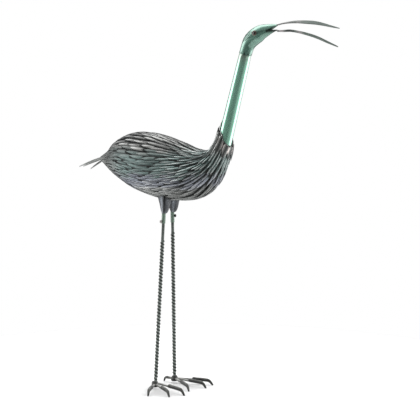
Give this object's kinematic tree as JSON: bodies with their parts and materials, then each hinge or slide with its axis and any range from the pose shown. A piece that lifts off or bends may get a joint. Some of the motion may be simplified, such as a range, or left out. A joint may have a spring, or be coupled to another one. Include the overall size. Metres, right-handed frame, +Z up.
{
  "type": "crane garden statue",
  "caption": "Garden statue of a crane with a coat of narrow leaf feathers, smooth neck and head, open curved beak, ribbed rod legs and clawed feet.",
  "frame": {"origin": "middle of the bounding box at ground level", "axes": "+X the way the bird faces, +Y its left side, +Z up"},
  "size_m": [0.8774, 0.2196, 0.9995],
  "materials": {
    "feather_steel": "dark steel with heat tints, lightly polished on the edges",
    "thigh_steel": "blued sheet steel",
    "green_enamel": "glossy green",
    "leg_iron": "dark, satin",
    "foot_iron": "dark, satin",
    "eye_glass": "glossy"
  },
  "bodies": {
    "root": {"feathered_body": "feather_steel", "tail_feather_a": "feather_steel", "tail_feather_b": "feather_steel", "tail_feather_c": "feather_steel", "right_thigh": "thigh_steel", "left_thigh": "thigh_steel", "neck_tube": "green_enamel", "head": "green_enamel", "upper_beak": "green_enamel", "lower_beak": "green_enamel", "right_leg": "leg_iron", "left_leg": "leg_iron", "right_set_screw": "foot_iron", "left_set_screw": "foot_iron", "right_hub": "foot_iron", "left_hub": "foot_iron", "right_toe_inner": "foot_iron", "right_toe_middle": "foot_iron", "right_toe_outer": "foot_iron", "right_toe_hind": "foot_iron", "left_toe_inner": "foot_iron", "left_toe_middle": "foot_iron", "left_toe_outer": "foot_iron", "left_toe_hind": "foot_iron", "right_eye": "eye_glass", "left_eye": "eye_glass"}
  },
  "joints": []
}
